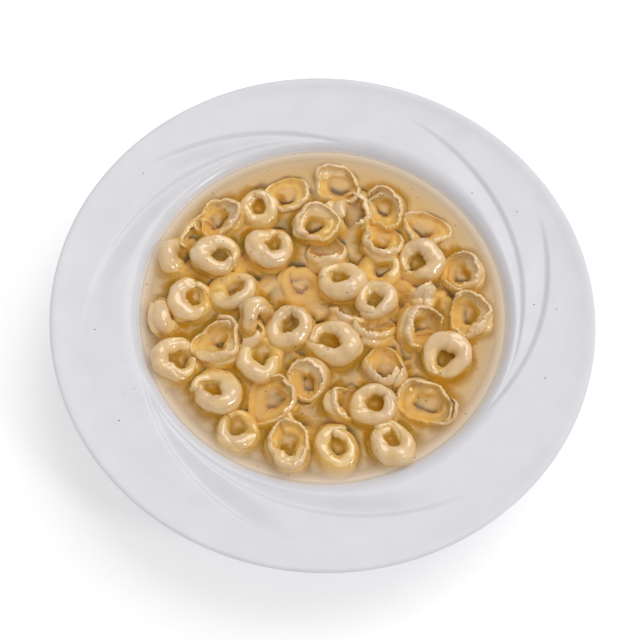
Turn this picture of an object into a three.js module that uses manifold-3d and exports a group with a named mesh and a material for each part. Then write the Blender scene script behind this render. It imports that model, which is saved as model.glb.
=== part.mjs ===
// Tortellini in broth, served in a wide-rimmed porcelain soup plate.
// Millimetres, +Z up. The origin is the centre of the foot ring on the table, and the diner sits at -Y.
// The plate, the broth and each tortellino that reaches the broth's surface are solids of their own.
import * as THREE from "three";
import { mergeVertices } from "three/addons/utils/BufferGeometryUtils.js";
import Module from "manifold-3d";

const wasm = await Module();
wasm.setup();

// ---------- driving dimensions ----------
const PLATE_RADIUS = 140;
const WELL_EDGE_RADIUS = 102.5;
const PLATE_SEGMENTS = 64;
const BROTH_LEVEL = 31;
const BROTH_GAP = 0.35; // clearance between the broth and the glaze
const SOCKET_GAP = 0.4; // clearance between the broth and a tortellino
const RING_RADIUS = 7.6; // centre line of a tortellino's filled tube
const RING_POINT = 0.14; // share by which the ring reaches out to the pinch
const RING_SQUEEZE = 0.93; // width of the ring across the pinch, as a share of round
const BELLY_RADIUS = 4.4; // tube at the filling
const PINCH_RADIUS = 2.8; // tube where the two ends meet
const HEM_LENGTH = 2.5; // sealed edge of the pasta beyond the tube
const HEM_THICKNESS = 1.3;
const HEM_RISE = { up: 38, down: 62 }; // degrees above the ring's plane, by the way the hem faces
const TAIL_LENGTH = 1.8; // what the hem gains beside the pinch
const RING_STATIONS = 9;
const FLOAT_DEPTH = 1.2; // ring centre below the level for a piece that floats
const LOW_DEPTH = 2.8; // the same for a piece that is nearly sunk
const USUAL_SIZE = 0.98; // a usual piece, as a share of the dimensions above
const LEAST_SHOWING = 1.2; // how far the top of every piece stands out of the broth
const MOST_SHOWING = 5.2;

const degrees = THREE.MathUtils.degToRad;

// ---------- the plate's section, as [radius, height] from the centre outwards ----------
const WELL_PROFILE = [
  [0, 7.0], [40, 7.0], [62, 7.8], [76, 11.5], [86, 17.5], [92.5, 24.5], [96.5, 31.6], [99.5, 34.6],
];
const RIM_PROFILE = [
  [WELL_EDGE_RADIUS, 35.8], [108, 36.5], [114, 37.2], [120, 38.0], [126, 38.8], [132, 39.8], [137, 40.8],
];
const LIP_PROFILE = [
  [139.3, 41.0], [PLATE_RADIUS, 40.2], [139.2, 39.0],
];
const UNDERSIDE_PROFILE = [
  [132, 36.3], [112, 32.0], [103, 29.8], [97, 21.5], [88, 11.5], [83, 3.0], [82.3, 0], [78.5, 0], [77.5, 2.2], [0, 2.2],
];

// ---------- swirl relief of the rim: three pairs of stepped arcs that run from the lip into the well's edge ----------
const SWIRL_STEP = 1.0;
const SWIRL_MOST = 1.3; // deepest that crossing arcs reach, in steps
const SWIRL_ONSET = 0.3; // share of an arc over which its step grows
const SWIRL_FALL = [-1, 1.5]; // the step falls between these distances inside the crest
const SWIRL_FADE = 14; // distance inside the crest where the step's low side has blended back
const SWIRL_ARCS = [
  { start: 75, sweep: 105, outer: 128, bend: 1.7 },
  { start: 30, sweep: 62, outer: 131, bend: 1.15 },
];
const SWIRL_PAIRS = 3;

// Height that the relief takes away at a radius and an angle in degrees.
function swirlDrop(radius, angle) {
  let drop = 0;
  for (const arc of SWIRL_ARCS) {
    for (let pair = 0; pair < SWIRL_PAIRS; pair++) {
      const start = arc.start - (360 / SWIRL_PAIRS) * pair;
      const along = ((((start - angle) % 360) + 360) % 360) / arc.sweep;
      if (along > 1) continue;
      const crest = WELL_EDGE_RADIUS + (arc.outer - WELL_EDGE_RADIUS) * (1 - along) ** arc.bend;
      const inside = crest - radius;
      const onset = THREE.MathUtils.smoothstep(along, 0, SWIRL_ONSET);
      const step = THREE.MathUtils.smoothstep(inside, SWIRL_FALL[0], SWIRL_FALL[1]);
      const blend = 1 - THREE.MathUtils.smoothstep(inside, SWIRL_FALL[1], SWIRL_FADE);
      drop += SWIRL_STEP * onset * step * blend;
    }
  }
  return Math.min(drop, SWIRL_MOST * SWIRL_STEP);
}

// ---------- solids from geometry, and back ----------
const WELD_DISTANCE = 1e-3;

function weld(geometry) {
  const plain = new THREE.BufferGeometry();
  plain.setAttribute("position", geometry.getAttribute("position"));
  if (geometry.index) plain.setIndex(geometry.index);
  return mergeVertices(plain, WELD_DISTANCE);
}

function solidOf(geometry) {
  const welded = weld(geometry);
  return new wasm.Manifold(
    new wasm.Mesh({
      numProp: 3,
      vertProperties: new Float32Array(welded.getAttribute("position").array),
      triVerts: dropSlivers(welded.index.array),
    }),
  );
}

// Triangles whose corners were welded together, as at a lathe's axis, go.
function dropSlivers(index) {
  const kept = [];
  for (let i = 0; i < index.length; i += 3) {
    const [a, b, c] = [index[i], index[i + 1], index[i + 2]];
    if (a !== b && b !== c && c !== a) kept.push(a, b, c);
  }
  return new Uint32Array(kept);
}

function geometryOf(solid) {
  const mesh = solid.getMesh();
  const geometry = new THREE.BufferGeometry();
  geometry.setAttribute("position", new THREE.BufferAttribute(new Float32Array(mesh.vertProperties), 3));
  geometry.setIndex(new THREE.BufferAttribute(new Uint32Array(mesh.triVerts), 1));
  return geometry;
}

// A closed body of revolution about Z from a profile of [radius, height] that starts and ends on the axis.
function revolve(profile) {
  const points = profile.map(([r, z]) => new THREE.Vector2(r, z)).reverse();
  return new THREE.LatheGeometry(points, PLATE_SEGMENTS).rotateX(Math.PI / 2);
}

// ---------- plate ----------
const RIM_BASE = 34; // the rim's upper face lies above this height
const SAME_RADIUS = 0.01;

function plateGeometry() {
  const geometry = weld(revolve([...WELL_PROFILE, ...RIM_PROFILE, ...LIP_PROFILE, ...UNDERSIDE_PROFILE]));
  const position = geometry.getAttribute("position");
  const rimRadii = RIM_PROFILE.map(([r]) => r);
  for (let i = 0; i < position.count; i++) {
    const [x, y, z] = [position.getX(i), position.getY(i), position.getZ(i)];
    const radius = Math.hypot(x, y);
    const onRim = z > RIM_BASE && rimRadii.some((r) => Math.abs(r - radius) < SAME_RADIUS);
    if (onRim) position.setZ(i, z - swirlDrop(radius, THREE.MathUtils.radToDeg(Math.atan2(y, x))));
  }
  return geometryOf(solidOf(geometry));
}

// ---------- tortellino ----------
// Its own frame: the ring lies in XY, the filling's belly is at +X, the pinch at -X, and the hem stands up to +Z.
// Angle 0 is the belly. grow thickens it, for the socket that it leaves in the broth.
const FULLNESS_POWER = 0.8; // how the tube swells from the pinch to the belly
const TAIL_POWER = 6; // how near the pinch the hem grows
const POINT_POWER = 4; // how near the pinch the ring is drawn out

function tubeRadius(angle) {
  const fullness = ((1 + Math.cos(angle)) / 2) ** FULLNESS_POWER;
  return PINCH_RADIUS + (BELLY_RADIUS - PINCH_RADIUS) * fullness;
}

function hemLength(angle) {
  const besidePinch = Math.max(0, -Math.cos(angle)) ** TAIL_POWER;
  return HEM_LENGTH + TAIL_LENGTH * besidePinch;
}

// Centre line of the ring: squeezed a little, and drawn to a point at the pinch.
function ringPoint(angle, out) {
  const reach = out + RING_RADIUS * RING_POINT * ((1 - Math.cos(angle)) / 2) ** POINT_POWER;
  return [reach * Math.cos(angle), RING_SQUEEZE * reach * Math.sin(angle)];
}

const TUBE_CORNERS = [112, 190, 262, 335]; // degrees round the tube's section, from the hem's inner side

function sectionAt(angle, hem, grow) {
  const tube = tubeRadius(angle) + grow;
  const rise = degrees(HEM_RISE[hem]);
  const reach = tubeRadius(angle) + hemLength(angle) + grow;
  const half = HEM_THICKNESS / 2 + grow;
  const corners = TUBE_CORNERS.map((d) => [RING_RADIUS + tube * Math.cos(degrees(d)), tube * Math.sin(degrees(d))]);
  const tip = (side) => [
    RING_RADIUS + reach * Math.cos(rise) - side * half * Math.sin(rise),
    reach * Math.sin(rise) + side * half * Math.cos(rise),
  ];
  return [...corners, tip(-1), tip(1)];
}

function tortellinoGeometry(hem, grow = 0) {
  const rows = [];
  for (let i = 0; i < RING_STATIONS; i++) {
    const angle = (2 * Math.PI * (i + 0.5)) / RING_STATIONS;
    rows.push(sectionAt(angle, hem, grow).map(([r, z]) => [...ringPoint(angle, r), z]));
  }
  const corners = rows[0].length;
  const index = [];
  for (let i = 0; i < RING_STATIONS; i++) {
    const next = (i + 1) % RING_STATIONS;
    for (let j = 0; j < corners; j++) {
      const after = (j + 1) % corners;
      const [a, b, c, d] = [i * corners + j, next * corners + j, next * corners + after, i * corners + after];
      index.push(a, b, c, a, c, d);
    }
  }
  const geometry = new THREE.BufferGeometry();
  geometry.setAttribute("position", new THREE.Float32BufferAttribute(rows.flat(2), 3));
  geometry.setIndex(index);
  return geometry;
}

// ---------- where the tortellini lie ----------
// x, y: place on the plate; turn: where the pinch points; lean: how far it tips, in degrees, and toward: which side is low.
// hem: which way the hem faces; low: nearly sunk; size: share of the usual size. Angles run from +X towards +Y.
const SERVING = [
  { x: -40, y: 57, turn: 80, lean: 16, toward: 250, hem: "down", size: 0.9 },
  { x: -57, y: 45, turn: 200, lean: 16, toward: 215, hem: "up" },
  { x: -77, y: 26, turn: 60, lean: 38, toward: 0, hem: "down" },
  { x: -60, y: 26, turn: 335, lean: 14, toward: 30, hem: "down" },
  { x: -31, y: 33, turn: 45, lean: 20, toward: 60, hem: "down" },
  { x: -7, y: 50, turn: 215, lean: 12, toward: 320, hem: "up" },
  { x: 31, y: 62, turn: 120, lean: 14, toward: 250, hem: "up" },
  { x: 30, y: 38, turn: 165, lean: 24, toward: 75, hem: "up", size: 0.95 },
  { x: 54, y: 28, turn: 210, lean: 24, toward: 215, hem: "down" },
  { x: 73, y: 25, turn: 250, lean: 24, toward: 185, hem: "up", size: 0.94 },
  { x: 77, y: 0, turn: 100, lean: 20, toward: 180, hem: "up" },
  { x: 52, y: 9, turn: 300, lean: 66, toward: 100, hem: "up", low: true, size: 0.82 },
  { x: 49, y: -10, turn: 50, lean: 34, toward: 330, hem: "up" },
  { x: 63, y: -23, turn: 235, lean: 18, toward: 225, hem: "down" },
  { x: 54, y: -49, turn: 340, lean: 10, toward: 250, hem: "up", size: 1.04 },
  { x: 38, y: -73, turn: 120, lean: 16, toward: 80, hem: "down", size: 0.92 },
  { x: 11, y: -77, turn: 90, lean: 8, toward: 300, hem: "down", low: true, size: 0.96 },
  { x: 28, y: -54, turn: 20, lean: 22, toward: 175, hem: "down", size: 0.96 },
  { x: 12, y: -53, turn: 60, lean: 46, toward: 10, hem: "up", size: 0.78 },
  { x: 32, y: -33, turn: 310, lean: 22, toward: 95, hem: "up", size: 0.96 },
  { x: 29, y: -15, turn: 200, lean: 42, toward: 80, hem: "up", low: true, size: 0.86 },
  { x: 4, y: -22, turn: 170, lean: 10, toward: 150, hem: "down", size: 1.1 },
  { x: -22, y: -12, turn: 60, lean: 22, toward: 210, hem: "down" },
  { x: -34, y: -6, turn: 290, lean: 52, toward: 325, hem: "down", low: true, size: 0.9 },
  { x: -47, y: 4, turn: 20, lean: 30, toward: 150, hem: "down" },
  { x: -65, y: 0, turn: 60, lean: 28, toward: 15, hem: "down" },
  { x: -81, y: -11, turn: 90, lean: 66, toward: 20, hem: "down", low: true, size: 0.88 },
  { x: -73, y: -36, turn: 350, lean: 24, toward: 20, hem: "down" },
  { x: -54, y: -26, turn: 70, lean: 14, toward: 130, hem: "up", low: true },
  { x: -31, y: -33, turn: 90, lean: 14, toward: 60, hem: "down", low: true },
  { x: -51, y: -51, turn: 175, lean: 22, toward: 100, hem: "down" },
  { x: -40, y: -73, turn: 110, lean: 12, toward: 60, hem: "down", low: true, size: 0.94 },
  { x: -23, y: -56, turn: 35, lean: 14, toward: 200, hem: "up" },
  { x: -4, y: -42, turn: 270, lean: 22, toward: 240, hem: "up", size: 0.92 },
  { x: -14, y: -78, turn: 100, lean: 10, toward: 80, hem: "up", low: true },
  { x: 10, y: 15, turn: 160, lean: 22, toward: 110, hem: "down" },
  { x: 25, y: 3, turn: 250, lean: 22, toward: 130, hem: "down", size: 0.95 },
];

// How a piece is turned: hem up or down, then the pinch's direction, then the lean.
function attitude(piece) {
  const upside = new THREE.Matrix4().makeRotationX(piece.hem === "down" ? Math.PI : 0);
  const spin = new THREE.Matrix4().makeRotationZ(degrees(piece.turn - 180));
  const low = degrees(piece.toward);
  const hinge = new THREE.Vector3(-Math.sin(low), Math.cos(low), 0);
  const lean = new THREE.Matrix4().makeRotationAxis(hinge, degrees(piece.lean));
  return lean.multiply(spin).multiply(upside);
}

// Balls along the tube and the hem that stand for a piece while the serving settles.
const HEM_BALLS = [0.45, 1]; // shares of the hem's length
const BALL_SKIN = 0.3;
const HEM_SKIN = 0.65;

function ballsOf(piece) {
  const size = USUAL_SIZE * (piece.size ?? 1);
  const turned = attitude(piece);
  const rise = degrees(HEM_RISE[piece.hem]);
  const balls = [];
  const stations = 2 * RING_STATIONS;
  for (let i = 0; i < stations; i++) {
    const angle = (2 * Math.PI * i) / stations;
    const tube = tubeRadius(angle);
    const place = (reach, radius, skin) => {
      const out = RING_RADIUS + reach * Math.cos(rise);
      const at = new THREE.Vector3(...ringPoint(angle, out), reach * Math.sin(rise));
      balls.push({ at: at.multiplyScalar(size).applyMatrix4(turned), radius: radius * size + skin });
    };
    place(0, tube, BALL_SKIN);
    for (const share of HEM_BALLS) place(tube + share * hemLength(angle), HEM_THICKNESS / 2, HEM_SKIN);
  }
  return balls;
}

function wellRadiusAt(height) {
  const top = WELL_PROFILE.findIndex(([, z]) => z > height);
  if (top <= 0) return top === 0 ? 0 : WELL_EDGE_RADIUS;
  const [[r0, z0], [r1, z1]] = [WELL_PROFILE[top - 1], WELL_PROFILE[top]];
  return r0 + ((r1 - r0) * (height - z0)) / (z1 - z0);
}

// Pieces that meet push each other apart, the well's wall holds them in, and each drifts back to its own place.
const SETTLE_STEPS = 560;
const FREE_STEPS = 280; // last steps, with no drift
const PUSH = 0.35;
const WALL_PUSH = 0.175;
const APART = 0.7; // share of the push that runs from centre to centre
const DRIFT = 0.03;

function settle(pieces) {
  const bodies = pieces.map((piece) => {
    const depth = piece.low ? LOW_DEPTH : FLOAT_DEPTH;
    const home = new THREE.Vector3(piece.x, piece.y, BROTH_LEVEL - depth);
    const balls = ballsOf(piece);
    const top = Math.max(...balls.map((ball) => ball.at.z + ball.radius - BALL_SKIN));
    return { home, at: home.clone(), balls, top, push: new THREE.Vector3() };
  });
  const gap = new THREE.Vector3();
  const reach = 2 * (RING_RADIUS + BELLY_RADIUS + HEM_LENGTH + TAIL_LENGTH);
  for (let step = 0; step < SETTLE_STEPS; step++) {
    for (const body of bodies) body.push.set(0, 0, 0);
    for (let i = 0; i < bodies.length; i++) {
      for (let j = i + 1; j < bodies.length; j++) {
        const [a, b] = [bodies[i], bodies[j]];
        if (a.at.distanceTo(b.at) > reach) continue;
        let deepest = 0;
        const way = new THREE.Vector3();
        for (const p of a.balls) {
          for (const q of b.balls) {
            gap.copy(p.at).add(a.at).sub(q.at).sub(b.at);
            const overlap = p.radius + q.radius - gap.length();
            if (overlap > deepest) {
              deepest = overlap;
              way.copy(gap).normalize();
            }
          }
        }
        way.addScaledVector(gap.copy(a.at).sub(b.at).normalize(), APART).normalize();
        a.push.addScaledVector(way, deepest * PUSH);
        b.push.addScaledVector(way, -deepest * PUSH);
      }
    }
    for (const body of bodies) {
      for (const ball of body.balls) {
        const [x, y, z] = [ball.at.x + body.at.x, ball.at.y + body.at.y, ball.at.z + body.at.z];
        const out = Math.hypot(x, y);
        const over = out + ball.radius - wellRadiusAt(z);
        if (over > 0) body.push.add(gap.set(-x / out, -y / out, 0).multiplyScalar(over * WALL_PUSH));
      }
      const showing = body.at.z + body.top - BROTH_LEVEL;
      body.push.z += PUSH * (THREE.MathUtils.clamp(showing, LEAST_SHOWING, MOST_SHOWING) - showing);
      body.at.add(body.push);
      if (step < SETTLE_STEPS - FREE_STEPS) body.at.lerp(body.home, DRIFT);
    }
  }
  return bodies.map((body) => body.at);
}

const places = settle(SERVING);

function placed(index, grow = 0) {
  const size = USUAL_SIZE * (SERVING[index].size ?? 1);
  return tortellinoGeometry(SERVING[index].hem, grow)
    .scale(size, size, size)
    .applyMatrix4(attitude(SERVING[index]))
    .translate(places[index].x, places[index].y, places[index].z);
}

// ---------- broth: fills the well to its level, with a socket for each tortellino ----------
function brothGeometry() {
  const inside = WELL_PROFILE.map(([r, z]) => [Math.max(0, r - BROTH_GAP), z + BROTH_GAP]);
  const below = inside.filter(([, z]) => z < BROTH_LEVEL);
  const edge = [wellRadiusAt(BROTH_LEVEL - BROTH_GAP) - BROTH_GAP, BROTH_LEVEL];
  const profile = [[0, BROTH_LEVEL], edge, ...below.reverse()];
  let broth = solidOf(revolve(profile));
  SERVING.forEach((piece, index) => {
    broth = broth.subtract(solidOf(placed(index, SOCKET_GAP)));
  });
  const bodies = broth.decompose();
  bodies.sort((a, b) => b.volume() - a.volume());
  return geometryOf(bodies[0]);
}

// ---------- materials and the finished group ----------
const GLAZE = new THREE.MeshStandardMaterial({ color: 0xe6e5ea, roughness: 0.12, metalness: 0 });
const PASTA = new THREE.MeshStandardMaterial({ color: 0xe0c183, roughness: 0.35, metalness: 0 });
const BROTH = new THREE.MeshStandardMaterial({ color: 0xd0a468, roughness: 0.1, metalness: 0 });

const dish = new THREE.Group();

function addNode(name, geometry, material) {
  const mesh = new THREE.Mesh(geometry, material);
  mesh.name = name;
  dish.add(mesh);
}

addNode("soup_plate", plateGeometry(), GLAZE);
addNode("broth", brothGeometry(), BROTH);
SERVING.forEach((piece, index) => {
  addNode(`tortellino_${String(index + 1).padStart(2, "0")}`, placed(index), PASTA);
});

export default dish;
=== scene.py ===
"""Tortellini in broth, served in a wide-rimmed white soup plate.

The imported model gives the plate, the broth and the tortellini that reach the surface. This scene replaces
each of them by a finer mesh of the same form, adds the tortellini under the surface, and lights the dish in
a white studio. Sizes are in millimetres inside the builders, and become metres where a mesh is made.
"""
import logging
import math
from dataclasses import dataclass
from enum import Enum

import bpy
import numpy as np
from mathutils import Matrix, Vector
from mathutils.bvhtree import BVHTree

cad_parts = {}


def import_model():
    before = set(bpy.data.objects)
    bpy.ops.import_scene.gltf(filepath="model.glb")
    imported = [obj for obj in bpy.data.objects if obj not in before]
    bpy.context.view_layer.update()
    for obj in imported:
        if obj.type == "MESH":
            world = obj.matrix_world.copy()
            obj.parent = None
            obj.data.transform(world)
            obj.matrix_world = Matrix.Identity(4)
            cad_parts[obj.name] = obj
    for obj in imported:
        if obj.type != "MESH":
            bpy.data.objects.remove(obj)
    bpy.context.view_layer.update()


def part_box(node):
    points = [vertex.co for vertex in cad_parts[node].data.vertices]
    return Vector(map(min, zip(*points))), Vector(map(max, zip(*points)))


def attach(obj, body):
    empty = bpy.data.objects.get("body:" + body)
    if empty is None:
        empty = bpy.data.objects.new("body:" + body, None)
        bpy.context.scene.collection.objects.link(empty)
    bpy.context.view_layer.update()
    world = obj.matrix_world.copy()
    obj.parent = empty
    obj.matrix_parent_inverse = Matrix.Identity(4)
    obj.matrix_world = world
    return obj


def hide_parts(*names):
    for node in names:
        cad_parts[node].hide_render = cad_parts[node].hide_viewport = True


log = logging.getLogger("tortellini")

MM = 0.001
FULL_TURN = 2.0 * math.pi
BROTH_LEVEL = 31.0
WELL_EDGE_RADIUS = 102.5


class Hem(Enum):
    """Which way a tortellino's sealed edge faces."""

    UP = "up"
    DOWN = "down"


class Cut(Enum):
    """How finely a tortellino is cut: sections along the ring, points round the tube, steps along the hem."""

    FINE = (112, 34, 5)
    MEDIUM = (90, 26, 4)
    COARSE = (56, 14, 2)


class Slot(Enum):
    """Material slots of the record."""

    PORCELAIN = "porcelain"
    BROTH = "broth"
    PASTA = "pasta"


# ---------------------------------------------------------------- small helpers


def smoothstep(low: float, high: float, value: np.ndarray) -> np.ndarray:
    """Smooth ramp from 0 at low to 1 at high.

    Args:
        low: value where the ramp starts.
        high: value where it ends.
        value: numbers to map.

    Returns:
        The mapped numbers.
    """
    share = np.clip((value - low) / (high - low), 0.0, 1.0)
    return share * share * (3.0 - 2.0 * share)


def curve_through(points: tuple, steps: int) -> np.ndarray:
    """A smooth curve through points in a plane.

    Args:
        points: the points.
        steps: pieces that each span is cut into.

    Returns:
        The curve's points.
    """
    given = np.asarray(points, dtype=float)
    if steps <= 1:
        return given
    padded = np.vstack([2 * given[0] - given[1], given, 2 * given[-1] - given[-2]])
    curve = []
    for a, b, c, d in zip(padded, padded[1:], padded[2:], padded[3:]):
        for t in np.arange(steps) / steps:
            square, cube = 2 * a - 5 * b + 4 * c - d, 3 * b - a - 3 * c + d
            curve.append(0.5 * (2 * b + (c - a) * t + square * t**2 + cube * t**3))
    curve.append(given[-1])
    return np.asarray(curve)


class Waves:
    """Smooth seeded noise: a sum of plane waves in random directions."""

    def __init__(self, seed: int, length: float, count: int = 9) -> None:
        """Draws the waves.

        Args:
            seed: seed of the draw.
            length: typical wave length, in the unit of the points.
            count: number of waves.
        """
        draw = np.random.default_rng(seed)
        ways = draw.normal(size=(count, 3))
        ways /= np.linalg.norm(ways, axis=1, keepdims=True)
        lengths = length * draw.uniform(0.7, 1.5, size=(count, 1))
        self.ways = ways * (FULL_TURN / lengths)
        self.shifts = draw.uniform(0.0, FULL_TURN, size=count)

    def at(self, points: np.ndarray) -> np.ndarray:
        """Noise at points.

        Args:
            points: array whose last axis is x, y, z.

        Returns:
            Values of about -1 to 1, one for each point.
        """
        return np.sin(points @ self.ways.T + self.shifts).sum(axis=-1) / math.sqrt(2.0 * len(self.shifts))


def make_mesh(name: str, vertices: np.ndarray, faces: list, smooth: bool = True) -> bpy.types.Object:
    """Makes a mesh object from vertices in millimetres.

    Args:
        name: name of the object.
        vertices: array of x, y, z.
        faces: lists of vertex numbers.
        smooth: whether its faces are shaded smooth.

    Returns:
        The object, linked into the scene.
    """
    mesh = bpy.data.meshes.new(name)
    mesh.from_pydata((np.asarray(vertices) * MM).tolist(), [], faces)
    mesh.validate()
    if smooth:
        mesh.polygons.foreach_set("use_smooth", [True] * len(mesh.polygons))
    mesh.update()
    piece = bpy.data.objects.new(name, mesh)
    bpy.context.scene.collection.objects.link(piece)
    return piece


def grid_faces(rows: int, columns: int, first: int = 0) -> list:
    """Quads of a grid of vertices numbered row by row, each row closed on itself.

    Args:
        rows: number of rows.
        columns: number of vertices in a row.
        first: number of the grid's first vertex.

    Returns:
        The faces as tuples.
    """
    faces = []
    for row in range(rows - 1):
        here = first + row * columns
        there = here + columns
        for k in range(columns):
            m = (k + 1) % columns
            faces.append((here + k, there + k, there + m, here + m))
    return faces


def pole_faces(columns: int, last: int, centre: int, below: int) -> list:
    """Triangles that close the first row on a point at the top and the last row on one underneath.

    Args:
        columns: number of vertices in a row.
        last: number of the last row's first vertex.
        centre: number of the point at the top.
        below: number of the point underneath.

    Returns:
        The faces as tuples.
    """
    faces = []
    for k in range(columns):
        m = (k + 1) % columns
        faces.append((centre, k, m))
        faces.append((below, last + m, last + k))
    return faces


# ---------------------------------------------------------------- finishes

Socket = bpy.types.NodeSocket


class Nodes:
    """A node material under construction."""

    def __init__(self, name: str) -> None:
        """Starts an empty material.

        Args:
            name: name of the material.
        """
        self.material = bpy.data.materials.new(name)
        self.material.use_nodes = True
        self.tree = self.material.node_tree
        self.tree.nodes.clear()
        self.output = self.tree.nodes.new("ShaderNodeOutputMaterial")

    def node(self, kind: str, inputs: dict | None = None, **settings: object) -> bpy.types.Node:
        """Adds a node.

        Args:
            kind: the node's type after ShaderNode.
            inputs: values or sockets, by input name or number.
            settings: the node's own properties.

        Returns:
            The node.
        """
        made = self.tree.nodes.new("ShaderNode" + kind)
        for key, value in settings.items():
            setattr(made, key, value)
        for key, value in (inputs or {}).items():
            if isinstance(value, Socket):
                self.tree.links.new(value, made.inputs[key])
            else:
                made.inputs[key].default_value = value
        return made

    def ramp(self, factor: Socket, stops: tuple) -> Socket:
        """Adds a colour ramp.

        Args:
            factor: socket that drives it.
            stops: pairs of position and linear colour of three numbers.

        Returns:
            The ramp's colour socket.
        """
        made = self.node("ValToRGB", {0: factor})
        elements = made.color_ramp.elements
        while len(elements) < len(stops):
            elements.new(0.5)
        for element, (position, colour) in zip(elements, stops):
            element.position = position
            element.color = (*colour, 1.0)
        return made.outputs["Color"]

    def curve(self, factor: Socket, stops: tuple) -> Socket:
        """Adds a ramp of plain numbers.

        Args:
            factor: socket that drives it.
            stops: pairs of position and number.

        Returns:
            The number's socket.
        """
        return self.ramp(factor, tuple((position, (number,) * 3) for position, number in stops))

    def mix(self, factor: float | Socket, first: tuple | Socket, second: tuple | Socket,
            blend: str = "MIX") -> Socket:
        """Mixes two colours.

        Args:
            factor: number or socket.
            first: colour or socket.
            second: colour or socket.
            blend: how they are mixed.

        Returns:
            The mixed colour's socket.
        """
        made = self.node("Mix", data_type="RGBA", blend_type=blend)
        for number, value in ((0, factor), (6, first), (7, second)):
            if isinstance(value, Socket):
                self.tree.links.new(value, made.inputs[number])
            elif number == 0:
                made.inputs[number].default_value = value
            else:
                made.inputs[number].default_value = (*value, 1.0)
        return made.outputs[2]

    def math(self, operation: str, first: float | Socket, second: float | Socket) -> Socket:
        """Adds a math node.

        Args:
            operation: its operation.
            first: number or socket.
            second: number or socket.

        Returns:
            The result's socket.
        """
        return self.node("Math", {0: first, 1: second}, operation=operation).outputs[0]

    def spread(self, value: Socket, ends: dict) -> Socket:
        """Maps a value to another range.

        Args:
            value: socket of the value.
            ends: the ends that aren't 0 and 1, by input name.

        Returns:
            The mapped value's socket.
        """
        return self.node("MapRange", {"Value": value, **ends}).outputs["Result"]

    def attribute(self, name: str) -> Socket:
        """Reads a number that the mesh carries."""
        return self.node("Attribute", attribute_name=name).outputs["Fac"]

    def noise(self, scale: float, detail: float = 3.0, roughness: float = 0.5) -> Socket:
        """Noise in object space.

        Args:
            scale: scale in waves per metre.
            detail: octaves.
            roughness: weight of the fine octaves.

        Returns:
            The noise's socket, about 0 to 1.
        """
        where = self.node("TexCoord").outputs["Object"]
        inputs = {"Vector": where, "Scale": scale, "Detail": detail, "Roughness": roughness}
        return self.node("TexNoise", inputs).outputs["Fac"]

    def depth(self, reach: float) -> Socket:
        """Depth under the broth's level, as a share of reach, from 0 to 1.

        Args:
            reach: depth in millimetres at which the share is 1, or a height above the level if negative.

        Returns:
            The share's socket.
        """
        where = self.node("TexCoord").outputs["Object"]
        height = self.node("SeparateXYZ", {0: where}).outputs["Z"]
        return self.spread(height, {"From Min": BROTH_LEVEL * MM, "From Max": (BROTH_LEVEL - reach) * MM})

    def bump(self, height: Socket, distance: float, strength: float, below: Socket | None = None) -> Socket:
        """Adds a bump.

        Args:
            height: socket of the relief.
            distance: relief in millimetres.
            strength: strength of the bump.
            below: normal that the bump is added to.

        Returns:
            The normal's socket.
        """
        inputs = {"Height": height, "Distance": distance * MM, "Strength": strength}
        if below is not None:
            inputs["Normal"] = below
        return self.node("Bump", inputs).outputs["Normal"]

    def blend(self, factor: Socket, first: bpy.types.Node, second: bpy.types.Node) -> bpy.types.Node:
        """Mixes two shaders.

        Args:
            factor: socket that is 0 for the first and 1 for the second.
            first: shader node.
            second: shader node.

        Returns:
            The mixed shader's node.
        """
        return self.node("MixShader", {0: factor, 1: first.outputs[0], 2: second.outputs[0]})

    def surface(self, shader: bpy.types.Node) -> bpy.types.Material:
        """Ends the material.

        Args:
            shader: the finished shader's node.

        Returns:
            The material.
        """
        self.tree.links.new(shader.outputs[0], self.output.inputs["Surface"])
        return self.material


@dataclass(frozen=True)
class Porcelain:
    """White glaze, with the broth's colour over it where it lies under the broth, and painted light that
    brightens the glaze at the level and on the shallow wall.
    """

    under_broth: bool  # whether the faces are the well's inside
    glaze: tuple = ((0.3, (0.665, 0.66, 0.695)), (0.7, (0.70, 0.695, 0.73)))
    tint_reach: float = 24.0  # depth at which the tint is strongest
    # painted light: stops above 1 brighten the glaze at the level and under shallow broth, in place of light
    # the broth and glaze scatter into the shaded well; the deeper stops are the broth's own colour
    tint: tuple = (
        (0.0, (1.2, 1.2, 1.2)), (0.02, (1.28, 1.2, 1.1)), (0.08, (1.36, 1.20, 0.98)),
        (0.2, (1.36, 1.08, 0.74)), (0.4, (1.22, 0.80, 0.36)), (1.0, (0.78, 0.37, 0.05)),
    )
    wetting: float = 0.06  # share of the reach over which the glaze loses its shine to the broth

    def material(self) -> bpy.types.Material:
        """Makes the material.

        Returns:
            The material.
        """
        made = Nodes("porcelain_in_broth_painted_light" if self.under_broth else "porcelain")
        colour = made.ramp(made.noise(scale=60.0, detail=2.0), self.glaze)
        if self.under_broth:
            depth = made.depth(self.tint_reach)
            colour = made.mix(1.0, colour, made.ramp(depth, self.tint), "MULTIPLY")
        normal = made.bump(made.noise(scale=900.0, detail=1.0), distance=0.01, strength=0.25)
        shader = made.node("BsdfPrincipled", {"Base Color": colour, "Roughness": 0.22, "Normal": normal})
        shader.inputs["IOR"].default_value = 1.5
        if not self.under_broth:
            return made.surface(shader)
        wet = made.spread(depth, {"From Max": self.wetting})
        return made.surface(made.blend(wet, shader, made.node("BsdfDiffuse", {"Color": colour})))


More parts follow.
